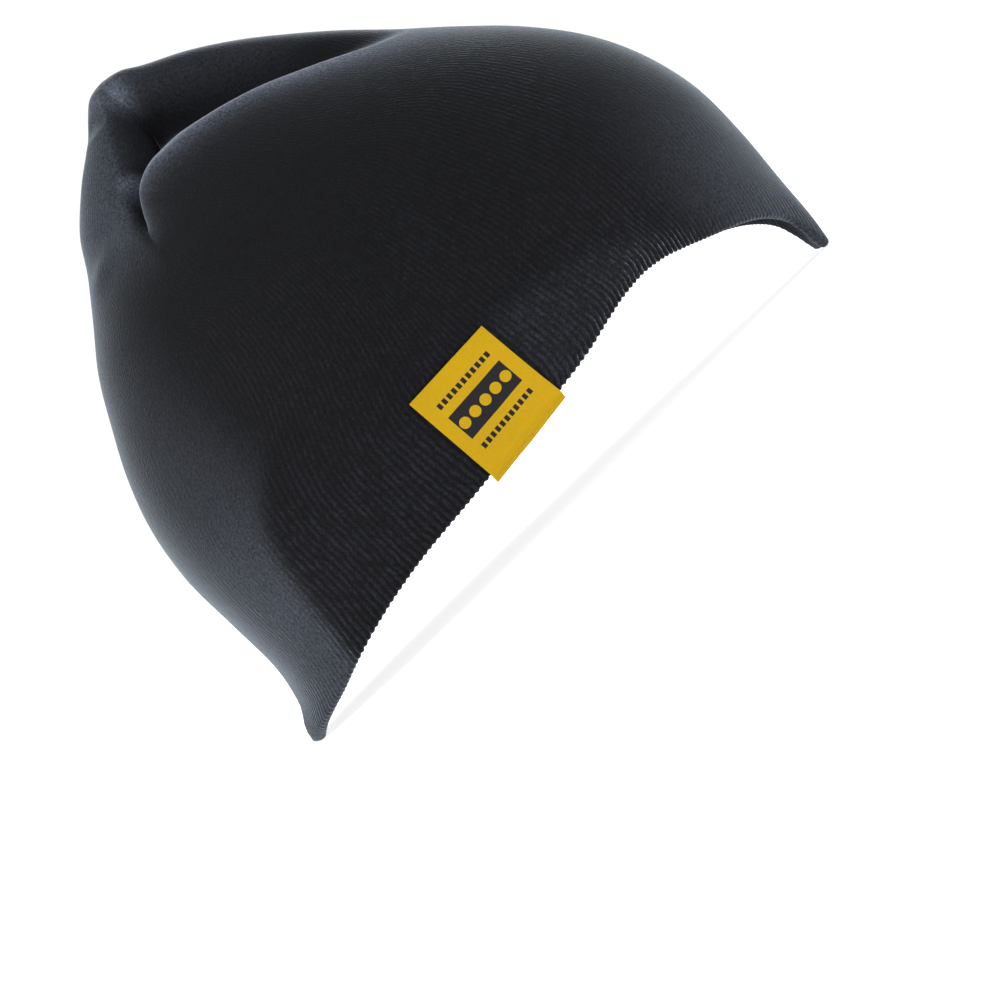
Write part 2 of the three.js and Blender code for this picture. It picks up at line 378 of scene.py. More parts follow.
    def past_nape_edge(self, points: Points) -> Array:
        """How far places lie past the edge where the flat side turns to the back, as a signed distance.

        Args:
            points: Points of the hull.

        Returns:
            A distance for each of them, below 0 on the flat side and above 0 behind and over it.
        """
        x, _, z = points.T
        behind = -76.5 + 0.12 * (z - 18) - x
        over = (z - 59.3 - 0.755 * (x + 69)) * 0.8
        nearness = sum(np.exp(np.clip(side / self.nape_edge_blend, -30, 30)) for side in (behind, over))
        return np.log(nearness) * self.nape_edge_blend

    def rib_weight(self, points: Points) -> Array:
        """How open and deep the ribs are: most on the stretched temple, least on the crown, brow and back.

        Args:
            points: Points of the hull.

        Returns:
            A share from 0 to 1 for each of them.
        """
        x, _, z = points.T
        weight = 0.1 + 0.35 * smooth_step(z, 66, 40) + 0.2 * smooth_step(z, 130, 80)
        temple = smooth_step(self.temple_edge.at(x) - z, -3, 4) * smooth_step(x, 2, 24)
        weight = weight + 0.55 * temple * smooth_step(x, 76, 62)
        weight = weight * (1 - 0.8 * smooth_step(x, 66, 84))
        nape = smooth_step(self.past_nape_edge(points), -1, 8) * smooth_step(x, -40, -66)
        return np.clip(weight * (1 - 0.75 * nape), 0, 1)

    def nap(self, points: Points) -> Array:
        """How much painted highlight each place gets, a paler colour that stands in for light: most on the
        ridge, the nape and the gathered tip.

        Args:
            points: Points of the hull.

        Returns:
            A share from 0 to 1 for each of them.
        """
        x, _, z = points.T
        below_ridge = self.shoulder.at(x) - z
        ridge = smooth_step(below_ridge, -4, 0) * np.exp(-np.maximum(below_ridge - 3, 0) / 2.8)
        ridge = ridge * smooth_step(x, -38, -30) * smooth_step(x, 72, 30)
        ahead = x - self.dart_place.at(z)
        curl = smooth_step(ahead, 0, 2) * np.exp(-np.maximum(ahead, 0) / 3.2) * swell(z, 148, 14)
        behind = smooth_step(-ahead, 0, 4) * smooth_step(z, 126, 150)
        crest = smooth_step(self.crown_outline.at(x) - z, 12, 1) * smooth_step(z, 145, 162)
        nape = smooth_step(self.past_nape_edge(points), -1.5, 6) * smooth_step(x, -50, -78)
        nape = nape * (1 - 0.7 * smooth_step(z, 30, 105))
        brow = smooth_step(x, 66, 98) * smooth_step(z, 105, 5)
        temple = smooth_step(self.temple_edge.at(x) - z, -6, 5) * smooth_step(x, 2, 24)
        temple = temple * smooth_step(x, 80, 62)
        # painted highlight: shares of paler colour that stand in for light on the ridge, curl, crest, tip
        # bud, back, nape, brow and temple
        share = np.maximum(ridge, self.painted_curl_highlight * curl) + self.painted_crest_highlight * crest + self.painted_bud_highlight.at(x, z)
        share = share + self.painted_back_highlight * np.maximum(nape, behind) + self.painted_brow_highlight * brow
        return np.clip(share + self.painted_temple_highlight * temple, 0, 1)

    def tip_relief(self, points: Points) -> Array:
        """The small folds behind the darts, where the cloth is gathered towards the tip.

        Args:
            points: Points of the hull.

        Returns:
            A height for each of them.
        """
        x, y, z = points.T
        behind = smooth_step(self.dart_place.at(z) - x, 0.5, 4.5)
        below_knob = self.knob_foot - z
        lobe = self.lobe_height * smooth_step(below_knob, 0, 2.4) * smooth_step(below_knob, 18, 5)
        groove = self.groove_height * swell(z, 175.4, 3.0)
        along = np.clip((x + 46) / -18, -0.2, 1.2)
        gather = self.gather_height * np.exp(-(((z - 146 + 7.5 * along) / 2.6) ** 2))
        gather = gather * swell(along, 0.55, 0.6)
        height = behind * (lobe + groove + gather) + self.dent.at(x, z) + self.bud.at(x, z)
        return height * smooth_step(np.abs(y), 1, 8) * np.where(y < 0, 1, self.left_folds)

    def outer(self, angle: Array, row: Array) -> Points:
        """The outer face with its folds and creases."""
        hull = self.hull(angle, row)
        height = self.soft_relief(hull) + self.tip_relief(hull) - self.fold_depth(hull)
        return hull + self.outwards(angle, row) * height[:, None]

    def cloth(self, angle: Array, row: Array, depth: Array) -> Points:
        """Points at a depth below the outer face.

        Args:
            angle: The angles round the cap.
            row: The places in the table of sections.
            depth: How far each point lies inside the outer face.

        Returns:
            A point for each of them.
        """
        directions = self.outwards(angle, row)
        folded = row > self.crown_row - 1
        if folded.any():
            faces = self.normals(self.outer, angle[folded], row[folded])
            leaning = directions[folded] + (faces - directions[folded]) * self.wall_lean
            directions[folded] = unit(leaning)
        return self.outer(angle, row) - directions * np.asarray(depth)[:, None]

    def right_angle(self, x: Array, row: Array) -> Array:
        """The angles on the right side where level sections reach the places x."""
        _, back, front, _, power, back_power = self.section_at(row)
        along = np.clip((x - (front + back) / 2) / ((front - back) / 2), -1, 1)
        corner = np.where(along < 0, back_power, power)
        return 2 * pi - np.arccos(np.sign(along) * np.abs(along) ** (corner / 2))

    def right_row(self, x: Array, z: Array) -> Array:
        """The rows where the right side has the places x and the heights z, by halving."""
        low = np.zeros_like(x)
        high = np.full_like(x, self.crown_row)
        for _ in range(30):
            middle = (low + high) / 2
            too_low = self.hull(self.right_angle(x, middle), middle)[:, 2] < z
            low = np.where(too_low, middle, low)
            high = np.where(too_low, high, middle)
        return (low + high) / 2

    def level_of(self, row: float) -> float:
        """The height of a row's section, without the rise of the rim."""
        return float(self.section_at(np.array([row]))[0][0])

    def row_at(self, z: Array) -> Array:
        """The rows whose sections lie at the heights z over the rim."""
        fine = np.linspace(0, TIP_ROW, 100 * TIP_ROW + 1)
        return np.interp(z, self.section_at(fine)[0], fine)


class Graph:
    """Adds shader nodes to a tree and joins them."""

    def __init__(self, tree: bpy.types.NodeTree) -> None:
        """Keeps the tree that the nodes are added to."""
        self.tree = tree

    def feed(self, socket: Socket, source: object) -> None:
        """Joins a socket to another one, or sets its value."""
        if isinstance(source, Socket):
            self.tree.links.new(source, socket)
        else:
            socket.default_value = source

    def node(self, kind: str, sources: dict | None = None, **settings: object) -> bpy.types.Node:
        """Adds a node.

        Args:
            kind: The node's type name.
            sources: Sockets or values for its inputs, by name or number.
            settings: Its properties by name.

        Returns:
            The new node.
        """
        node = self.tree.nodes.new(kind)
        for name, value in settings.items():
            setattr(node, name, value)
        for key, source in (sources or {}).items():
            self.feed(node.inputs[key], source)
        return node

    @cached_property
    def place(self) -> Socket:
        """The place on the piece, in metres."""
        return self.node("ShaderNodeTexCoord").outputs["Object"]

    def attribute(self, name: str) -> Socket:
        """A value that the mesh holds at its vertices."""
        return self.node("ShaderNodeAttribute", attribute_name=name).outputs["Fac"]

    def cloth_place(self, uv_map: str) -> tuple[Socket, Socket]:
        """The place on the cloth, across and along it, from a UV map."""
        uv = self.node("ShaderNodeUVMap", uv_map=uv_map).outputs[0]
        return tuple(self.node("ShaderNodeSeparateXYZ", {0: uv}).outputs)[:2]

    def math(self, operation: str, *values: object) -> Socket:
        """The result of a Math node, with a socket or a number for each input."""
        return self.node("ShaderNodeMath", dict(enumerate(values)), operation=operation).outputs[0]

    def plus(self, first: object, second: object) -> Socket:
        """The sum of two sockets or numbers."""
        return self.math("ADD", first, second)

    def times(self, first: object, second: object) -> Socket:
        """The product of two sockets or numbers."""
        return self.math("MULTIPLY", first, second)

    def centred(self, value: object) -> Socket:
        """A value that runs from 0 to 1, moved to run from -0.5 to 0.5."""
        return self.math("SUBTRACT", value, 0.5)

    def beat(self, turns: object) -> Socket:
        """The share of the turn that has begun, moved to run from -0.5 to 0.5."""
        return self.centred(self.math("FRACT", turns))

    def wave(self, turns: object) -> Socket:
        """A round wave from 0 to 1 that is highest at whole turns."""
        return self.plus(self.times(self.math("COSINE", self.times(turns, 2 * pi)), 0.5), 0.5)

    def near(self, value: object, middle: float, reach: float) -> Socket:
        """A mask that is 1 where a value lies closer to a middle than its reach."""
        away = self.math("ABSOLUTE", self.math("SUBTRACT", value, middle))
        return self.math("LESS_THAN", away, reach)

    def noise(self, scale: object, detail: float, roughness: float = 0.5) -> Socket:
        """The grey value of a noise on the piece, with its scale for each metre."""
        sources = {"Vector": self.place, "Scale": scale, "Detail": detail, "Roughness": roughness}
        return self.node("ShaderNodeTexNoise", sources).outputs[0]

    def mix(self, share: object, first: object, second: object) -> Socket:
        """A colour between two others, at a share of the second one."""
        return self.node("ShaderNodeMix", {0: share, 6: first, 7: second}, data_type="RGBA").outputs[2]

    def bump(self, height: object) -> Socket:
        """The surface's normal over a relief in millimetres."""
        return self.node("ShaderNodeBump", {"Distance": MILLIMETRE, "Height": height}).outputs[0]


def cloth_surface_group(patches: float = 38.0, fibres: float = 1350.0) -> bpy.types.NodeTree:
    """The group that both cloths use: colour that drifts and is speckled, and the height of loose fibres.

    Args:
        patches: The scale of the drift, for each metre.
        fibres: The scale of the speckle, for each metre.

    Returns:
        The group, with the inputs Colour, Drift, Speckle and Fineness and the outputs Colour and Fuzz.
    """
    tree = bpy.data.node_groups.new("cloth_surface", "ShaderNodeTree")
    tree.interface.new_socket("Colour", in_out="INPUT", socket_type="NodeSocketColor")
    for name in ("Drift", "Speckle", "Fineness"):
        tree.interface.new_socket(name, in_out="INPUT", socket_type="NodeSocketFloat")
    tree.interface.new_socket("Colour", in_out="OUTPUT", socket_type="NodeSocketColor")
    tree.interface.new_socket("Fuzz", in_out="OUTPUT", socket_type="NodeSocketFloat")
    graph = Graph(tree)
    given = graph.node("NodeGroupInput").outputs
    wide = graph.times(graph.centred(graph.noise(patches, 3.0)), given["Drift"])
    fine = graph.times(graph.centred(graph.noise(fibres, 3.0, 0.7)), given["Speckle"])
    strength = graph.plus(graph.plus(wide, fine), 1.0)
    scaled = graph.node("ShaderNodeVectorMath", {0: given["Colour"], "Scale": strength}, operation="SCALE")
    fuzz = graph.noise(given["Fineness"], 3.0, 0.65)
    graph.node("NodeGroupOutput", {"Colour": scaled.outputs[0], "Fuzz": fuzz})
    return tree


def shaded(colour: Colour, factor: float) -> Colour:
    """A colour made brighter or darker."""
    return tuple(factor * part for part in colour[:3]) + (1.0,)


def new_material(name: str) -> tuple[bpy.types.Material, Graph]:
    """Starts a material with an empty node tree.

    Args:
        name: The material's name.

    Returns:
        The material and its graph.
    """
    material = bpy.data.materials.new(name)
    material.use_nodes = True
    material.node_tree.nodes.clear()
    return material, Graph(material.node_tree)


def add_surface(graph: Graph, sources: dict[str, object]) -> None:
    """Adds a material's surface shader, with sockets or values for its inputs, and its output."""
    surface = graph.node("ShaderNodeBsdfPrincipled", sources)
    graph.node("ShaderNodeOutputMaterial", {"Surface": surface.outputs[0]})


@dataclass(frozen=True)
class ClothFinish:
    """A matt cloth whose colour is mottled and whose loose fibres stand up a little."""

    name: str
    roughness: float
    specular: float
    drift: float
    speckle: float
    fineness: float
    fuzz_height: float
    sheen: float = 0.0
    sheen_roughness: float = 0.5
    sheen_tint: Colour = WHITE

    def pattern(self, graph: Graph) -> tuple[Socket, Socket]:
        """Adds the cloth's own colour and its height in millimetres, which each cloth gives."""
        raise NotImplementedError

    def material(self, cloth_surface: bpy.types.NodeTree) -> bpy.types.Material:
        """Builds the material.

        Args:
            cloth_surface: The group that both cloths use.

        Returns:
            The material.
        """
        material, graph = new_material(self.name)
        colour, height = self.pattern(graph)
        given = {"Colour": colour, "Drift": self.drift, "Speckle": self.speckle, "Fineness": self.fineness}
        mottled, fuzz = graph.node("ShaderNodeGroup", given, node_tree=cloth_surface).outputs
        sources = {
            "Base Color": mottled,
            "Normal": graph.bump(graph.plus(height, graph.times(fuzz, self.fuzz_height))),
            "Roughness": self.roughness,
            "Specular IOR Level": self.specular,
            "Sheen Weight": self.sheen,
            "Sheen Roughness": self.sheen_roughness,
            "Sheen Tint": self.sheen_tint,
        }
        add_surface(graph, sources)
        return material


@dataclass(frozen=True)
class RibKnitFinish(ClothFinish):
    """Matt black rib jersey with a short brushed fuzz."""

    name: str = "brushed_rib_jersey"
    roughness: float = 0.93
    specular: float = 0.16
    drift: float = 0.6
    speckle: float = 3.6
    fineness: float = 1300.0
    fuzz_height: float = 0.2
    sheen: float = 0.6
    sheen_roughness: float = 0.28
    sheen_tint: Colour = (0.80, 0.90, 1.0, 1.0)
    colour: Colour = (0.0050, 0.0052, 0.0071, 1.0)
    # painted highlight colour, then the factors of painted shade in the rib valleys and painted highlight on
    # the rib tops
    painted_highlight_colour: Colour = (0.096, 0.110, 0.140, 1.0)
    painted_valley_shade: float = 0.5
    painted_peak_highlight: float = 3.2
    rib_height: float = 0.4
    stitch_height: float = 0.035
    wander: float = 0.7
    wander_scale: float = 190.0
    jitter: float = 0.55
    jitter_scale: float = 800.0
    patch_scale: float = 320.0
    patch_edges: tuple[float, float] = (0.34, 0.66)
    least_rib: float = 0.25

    def pattern(self, graph: Graph) -> tuple[Socket, Socket]:
        """Adds the ribs with painted shade in their valleys and painted highlight on their tops, the
        stitches, and the painted highlight, a paler colour that stands in for light on the ridge, nape, brow
        and tip.

        The UV map counts ribs across and stitches up, so the ribs follow the cloth.

        Args:
            graph: The material's graph.

        Returns:
            The colour, and the height in millimetres.
        """
        across, up = graph.cloth_place("knit")
        weight = graph.attribute("rib_weight")
        wander = graph.times(graph.centred(graph.noise(self.wander_scale, 2.0)), self.wander)
        jitter = graph.times(graph.centred(graph.noise(self.jitter_scale, 2.0)), self.jitter)
        wale = graph.plus(graph.plus(across, wander), jitter)
        low, high = self.patch_edges
        patches = {0: graph.noise(self.patch_scale, 3.0, 0.65), 1: low, 2: high, 3: self.least_rib, 4: 1.0}
        uneven = graph.node("ShaderNodeMapRange", patches, interpolation_type="SMOOTHSTEP").outputs[0]
        rib = graph.times(graph.wave(wale), graph.times(weight, uneven))
        slant = graph.math("ABSOLUTE", graph.beat(wale))
        stitch = graph.times(graph.wave(graph.plus(up, slant)), weight)
        height = graph.plus(graph.times(rib, self.rib_height), graph.times(stitch, self.stitch_height))
        # painted shade in the rib valleys and painted highlight on the rib tops
        painted_rib_shading = graph.mix(rib, shaded(self.colour, self.painted_valley_shade), shaded(self.colour, self.painted_peak_highlight))
        # painted highlight: the paler colour is mixed in where light falls on the ridge, nape, brow and tip
        return graph.mix(graph.attribute("nap"), painted_rib_shading, self.painted_highlight_colour), height


@dataclass(frozen=True)
class WovenTapeFinish(ClothFinish):
    """Yellow woven tape with a plain near-black ornament of a dotted bar between two rows of dashes."""

    name: str = "woven_tape"
    roughness: float = 0.6
    specular: float = 0.08
    drift: float = 0.25
    speckle: float = 0.28
    fineness: float = 2200.0
    fuzz_height: float = 0.02
    yellow: Colour = (0.45, 0.268, 0.0045, 1.0)
    black: Colour = (0.015, 0.0145, 0.017, 1.0)
    wefts: int = 92
    warps: int = 70
    thread_height: float = 0.02
    ornament_height: float = 0.03
    side_margin: float = 0.14
    dots: int = 5
    dot_radius: float = 0.4
    bar_middle: float = 0.5
    bar_half: float = 0.15
    dashes: int = 11
    dash_reach: float = 0.32
    dash_half: float = 0.03
    dash_rows: tuple[float, float] = (0.775, 0.225)

    def pattern(self, graph: Graph) -> tuple[Socket, Socket]:
        """Adds the threads and the ornament.

        The UV map runs across the tape and, from 0 at the fold to 1 at the top edge, along its outer leg.

        Args:
            graph: The material's graph.

        Returns:
            The colour, and the height in millimetres.
        """
        across, along = graph.cloth_place("tape")
        mask = self.ornament(graph, across, along)
        weft = graph.math("SINE", graph.times(along, 2 * pi * self.wefts))
        warp = graph.math("SINE", graph.times(across, 2 * pi * self.warps))
        threads = graph.times(graph.times(weft, warp), self.thread_height)
        height = graph.plus(threads, graph.times(mask, self.ornament_height))
        return graph.mix(mask, self.yellow, self.black), height

    def ornament(self, graph: Graph, across: Socket, along: Socket) -> Socket:
        """Adds the dotted bar and the dashes.

        Args:
            graph: The material's graph.
            across: The place across the tape, from 0 to 1.
            along: The place along the outer leg, from 0 to 1.

        Returns:
            A mask that is 1 on the dark thread.
        """
        span = 1 - 2 * self.side_margin
        run = graph.math("DIVIDE", graph.math("SUBTRACT", across, self.side_margin), span)
        beat = graph.beat(graph.times(run, float(self.dots)))
        rise = graph.times(graph.math("SUBTRACT", along, self.bar_middle), self.dots / span)
        reach = graph.plus(graph.times(beat, beat), graph.times(rise, rise))
        hole = graph.math("GREATER_THAN", reach, self.dot_radius**2)
        mask = graph.times(graph.near(along, self.bar_middle, self.bar_half), hole)
        beat = graph.beat(graph.times(run, float(self.dashes)))
        dash = graph.near(beat, 0.0, self.dash_reach)
        for middle in self.dash_rows:
            row = graph.times(graph.near(along, middle, self.dash_half), dash)
            mask = graph.math("MAXIMUM", mask, row)
        return graph.times(mask, graph.near(across, 0.5, span / 2))


@dataclass(frozen=True)
class FloorFinish:
    """Matt white paper that glows a little, so that it stays as pale as the room."""

    colour: Colour = (0.9, 0.9, 0.9, 1.0)
    shade: float = 0.985
    glow: float = 0.85
    roughness: float = 0.9
    specular: float = 0.1

    def material(self) -> bpy.types.Material:
        """Builds the material.

        Returns:
            A white that barely drifts over the sheet.
        """
        material, graph = new_material("white_paper")
        sources = {
            "Base Color": graph.mix(graph.noise(3.0, 2.0), shaded(self.colour, self.shade), self.colour),
            "Roughness": self.roughness,
            "Specular IOR Level": self.specular,
            "Emission Color": WHITE,
            "Emission Strength": self.glow,
        }
        add_surface(graph, sources)
        return material


def mesh_object(name: str, shape: bmesh.types.BMesh, material: bpy.types.Material) -> bpy.types.Object:
    """Makes an object at the origin from a finished bmesh.

    Args:
        name: The object's name.
        shape: The mesh, with its place in its vertices. It is freed.
        material: Its material.

    Returns:
        The object.
    """
    mesh = bpy.data.meshes.new(name)
    for face in shape.faces:
        face.smooth = True
    shape.to_mesh(mesh)
    shape.free()
    mesh.materials.append(material)
    obj = bpy.data.objects.new(name, mesh)
    bpy.context.scene.collection.objects.link(obj)
    return obj


@dataclass(frozen=True)
class Ring:
    """One ring of the cap's mesh.

    The wall's depth is measured inwards from the outer face. The turn is 0 where the ring faces outwards,
    a quarter turn where it faces down at the rim, and a half turn on the inner face.
    """

    row: float
    depth: float
    drop: float = 0.0
    turn: float = 0.0


@dataclass(frozen=True)
class Pull:
    """A place where the wales are pulled forward, by an angle that grows from one row to another.

    The turn from the brow and the reach are in degrees, and the angle is in radians.
    """

    turn: float
    reach: float
    angle: float
    still_row: float
    full_row: float


@dataclass
class KnitShell:
    """The crown and the rim: two layers of rib jersey as one soft wall."""

    form: WornForm
    finish: RibKnitFinish
    wall: float = 3.0
    wales: int = 320
    course: float = 1.35
    count_angle: float = 60.0
    side_spacing: float = 2.4
    crown_spacing: float = 0.09
    inner_stride: int = 2
    fine_inner_rows: int = 4
    rim_steps: int = 8
    rib_relief: float = 0.3
    relief_rows: float = 1.7
    least_relief: float = 0.25
    relief_gain: float = 0.9
    inner_relief: float = 0.4
    band_rows: float = 1.5
    samples: int = 4
    thick_enough: float = 12.0
    dart_start: float = 106.0
    dart_full: float = 136.0
    dart_blend: float = 16.0
    seam_width: float = 1.3
    seam_depth: float = 0.45
    seam_run: float = 22.0
    side_seam_start: float = 138.0
    girth_row: float = 3.0
    pulls: tuple[Pull, ...] = (Pull(66.0, 46.0, 0.085, 3.6, 0.0), Pull(136.0, 34.0, 0.05, 3.6, 5.4))

    def rings(self) -> list[Ring]:
        """The rings from the tip down the outer face, round the rim and up the inner face."""
        heights = np.arange(self.wall / 2, SECTIONS[int(self.form.crown_row)].z, self.side_spacing)
        crown_rows = np.arange(self.form.crown_row, TIP_ROW, self.crown_spacing)
        rows = [float(row) for row in (*self.form.row_at(heights), *crown_rows, TIP_ROW)]
        outer = [Ring(row, 0.0) for row in rows]
        rim = []
        for step in range(1, self.rim_steps):
            turn = pi * step / self.rim_steps
            depth = self.wall / 2 * (1 - cos(turn))
            rim.append(Ring(rows[0], depth, (self.wall / 2 - self.rib_relief) * sin(turn), turn))
        halves = self.form.section_at(np.array(rows))[3]
        roomy = [row for row, half in zip(rows, halves) if half > self.thick_enough]
        inner_rows = roomy[: self.fine_inner_rows] + roomy[self.fine_inner_rows :: self.inner_stride]
        inner = [Ring(row, self.wall, 0.0, pi) for row in inner_rows]
        return [Ring(float(TIP_ROW), 0.0)] + outer[::-1] + rim + inner + [inner[-1]]

    def flat_cloth(self, rings: list[Ring]) -> bmesh.types.BMesh:
        """A flat grid of one column for each wale, finer along the rim.

        Args:
            rings: The rings that its rows become.

        Returns:
            The grid, whose x runs from 0 to 1 and whose y is the number of the ring.
        """
        cloth = bmesh.new()
        bmesh.ops.create_grid(cloth, x_segments=self.wales, y_segments=len(rings) - 1, size=0.5)
        for vertex in cloth.verts:
            vertex.co = Vector((vertex.co.x + 0.5, round((vertex.co.y + 0.5) * (len(rings) - 1)), 0))
        band = {i for i, ring in enumerate(rings) if ring.row < self.band_rows}
        edges = []
        for edge in cloth.edges:
            ends = {round(vertex.co.y) for vertex in edge.verts}
            if len(ends) == 1 and ends <= band:
                edges.append(edge)
        bmesh.ops.subdivide_edges(cloth, edges=edges, cuts=self.samples - 1, use_grid_fill=True)
        return cloth

    def dart_twist(self, row: Array) -> Array:
        """How far the side seams turn towards the nape to meet the darts' creases, as an angle."""
        z, back, front, _, power, _ = self.form.section_at(row)
        along = (self.form.dart_place.at(z) - (front + back) / 2) / ((front - back) / 2)
        along = np.clip(along, -0.98, 0.98)
        crease = np.arccos(np.sign(along) * np.abs(along) ** (power / 2))
        return (crease - pi / 2) * smooth_step(z, self.dart_start, self.dart_full)

    def angles(self, share: Array, row: Array) -> Array:
        """The angles of places round the cap.

        Args:
            share: Each place's share of the wales, counted from the brow towards the left side.
            row: The places in the table of sections.

        Returns:
            The angles, with the pulls of the cloth and the twist of the seams.
        """
        fine = np.linspace(0, 2 * pi, 4001)
        girth = self.form.hull(fine, np.full_like(fine, self.girth_row))[:, :2]
        steps = np.linalg.norm(np.diff(girth, axis=0), axis=1)
        length = np.concatenate(([0.0], np.cumsum(steps)))
        quarters = length[:: (len(fine) - 1) // 4]
        wale_share = np.interp(length, quarters, (0, 0.25, 0.5, 0.75, 1))
        angle = np.interp(share, wale_share, fine)
        left = np.where(share < 0.5, 1.0, -1.0)
        turn = np.degrees(np.where(share < 0.5, angle, 2 * pi - angle))
        forward = np.zeros_like(angle)
        for pull in self.pulls:
            grown = smooth_step(row, pull.still_row, pull.full_row)
            forward += pull.angle * swell(turn, pull.turn, pull.reach) * grown
        twist = self.dart_twist(row) * (0.5 - 0.5 * np.cos(4 * pi * share))
        return angle + left * (twist - forward)

    def wale_lines(self, rings: list[Ring]) -> tuple[Array, Array]:
        """Where the wales run, ring by ring.

        Below the darts, a quarter of the wales lies between two seams. Above their start the wales keep
        their spacing, run up parallel with the middle of each quarter, and end at the seams.

        Args:
            rings: The rings of the mesh.

        Returns:
            For each ring, quarter and column, the wale counted from the middle of the quarter, and for each
            ring and column, the distance to the nearest seam.
        """
        columns = np.linspace(0, 1, self.wales + 1)
        quarter = self.wales // 4
        offsets = np.zeros((len(rings), 4, quarter + 1))
        seam_gap = np.full((len(rings), self.wales + 1), np.inf)
        full_length = np.zeros(4)
        even = (np.arange(quarter + 1) / quarter - 0.5) * quarter
        for i in reversed(range(len(rings))):
            row = rings[i].row
            z = self.form.level_of(row)
            rows = np.full_like(columns, row)
            places = self.form.outer(self.angles(columns, rows), rows)
            steps = np.linalg.norm(np.diff(places, axis=0), axis=1)
            for q in range(4):
                length = np.concatenate(([0.0], np.cumsum(steps[q * quarter : (q + 1) * quarter])))
                if z < self.dart_start or full_length[q] == 0:
                    full_length[q] = length[-1]
                count = quarter * min(length[-1] / full_length[q], 1.0)
                spaced = (length / max(length[-1], 1e-6) - 0.5) * count
                blend = smooth_step(z, self.dart_start, self.dart_start + self.dart_blend)
                offsets[i, q] = even + (spaced - even) * blend
                gap = np.minimum(length, length[-1] - length)
                part = seam_gap[i, q * quarter : (q + 1) * quarter + 1]
                np.minimum(part, gap, out=part)
        return offsets, seam_gap

    def place(self, cloth: bmesh.types.BMesh, rings: list[Ring], seam_gap: Array) -> None:
        """Moves the flat grid's vertices to the worn form and notes the ribs' weight and the painted
        highlight there.

        Args:
            cloth: The grid.
            rings: The rings that its rows become.
            seam_gap: The distance to the nearest seam, for each ring and column.
        """
        flat = np.array([vertex.co[:2] for vertex in cloth.verts])
        share = flat[:, 0]
        index = np.rint(flat[:, 1]).astype(int)
        table = np.array([(ring.row, ring.depth, ring.drop, ring.turn) for ring in rings])
        row, depth, drop, turn = table[index].T
        angle = self.angles(share, row)
        places = self.form.cloth(angle, row, depth)
        outwards = self.form.outwards(angle, row)
        hull = self.form.hull(angle, row)
        weight = self.form.rib_weight(hull)
        # painted highlight: the share of paler colour that stands in for light is stored at each vertex
        for name, values in (("rib_weight", weight), ("nap", self.form.nap(hull))):
            layer = cloth.verts.layers.float.new(name)
            for vertex, value in zip(cloth.verts, values):
                vertex[layer] = value
        ribs = np.cos(2 * pi * self.wales * share) * self.rib_relief
        ribs = ribs * smooth_step(row, self.relief_rows, 0)
        ribs = ribs * np.minimum(self.least_relief + self.relief_gain * weight, 1)
        ribs = ribs * np.where(turn < pi, 1.0, self.inner_relief)
        column = np.clip(np.rint(share * self.wales).astype(int), 0, self.wales)
        z = self.form.section_at(row)[0]
        seam = np.exp(-((seam_gap[index, column] / self.seam_width) ** 2))
        side_seam = np.abs(np.sin(2 * pi * share)) > sin(pi / 4)
        seam_start = np.where(side_seam, self.side_seam_start, self.dart_start)
        seam = seam * self.seam_depth * np.clip((z - seam_start) / self.seam_run, 0, 1) * (turn < pi)
        places += outwards * (ribs * np.cos(turn) - seam)[:, None]
        places[:, 2] -= drop + ribs * np.sin(turn)
        tip = SECTIONS[TIP_ROW]
        places[index == 0] = ((tip.front + tip.back) / 2, 0, tip.z)
        inner_z = self.form.level_of(rings[-1].row) - self.wall / 2
        places[index == len(rings) - 1] = ((tip.front + tip.back) / 2, 0, inner_z)
        for vertex, spot in zip(cloth.verts, places * MILLIMETRE):
            vertex.co = spot

    def map_stitches(self, cloth: bmesh.types.BMesh, rings: list[Ring], offsets: Array) -> None:
        """Gives the flat grid its UV map, in wales across and courses up.

        Args:
            cloth: The flat grid, before it is placed.
            rings: The rings that its rows become.
            offsets: The wales of each ring and quarter, from wale_lines.
        """
        angle = np.full(len(rings), radians(self.count_angle))
        row = np.array([ring.row for ring in rings])
        depth = np.array([ring.depth for ring in rings])
        line = self.form.cloth(angle, row, depth)
        climbs = np.linalg.norm(np.diff(line, axis=0), axis=1)
        course = np.concatenate(([0.0], np.cumsum(climbs))) / self.course
        quarter = self.wales // 4
        layer = cloth.loops.layers.uv.new("knit")
        for face in cloth.faces:
            middle = sum(vertex.co.x for vertex in face.verts) / len(face.verts)
            q = min(int(middle * 4), 3)
            for loop in face.loops:
                ring = round(loop.vert.co.y)
                local = (loop.vert.co.x * 4 - q) * quarter
                low = min(int(local), quarter - 1)
                pair = offsets[ring, q, low : low + 2]
                wale = pair[0] + (pair[1] - pair[0]) * (local - low) + (q + 0.5) * quarter
                loop[layer].uv = (wale, course[ring])

    def build(self, cloth_surface: bpy.types.NodeTree) -> bpy.types.Object:
        """Builds the knit shell and dresses it.

        Args:
            cloth_surface: The node group that both cloths use.

        Returns:
            The finished object.
        """
        rings = self.rings()
        cloth = self.flat_cloth(rings)
        offsets, seam_gap = self.wale_lines(rings)
        self.map_stitches(cloth, rings, offsets)
        self.place(cloth, rings, seam_gap)
        bmesh.ops.remove_doubles(cloth, verts=cloth.verts, dist=0.00001)
        bmesh.ops.recalc_face_normals(cloth, faces=cloth.faces)
        shell = mesh_object("knit_cap", cloth, self.finish.material(cloth_surface))
        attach(shell, "root")
        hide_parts(Cover.CAP.value)
        return shell


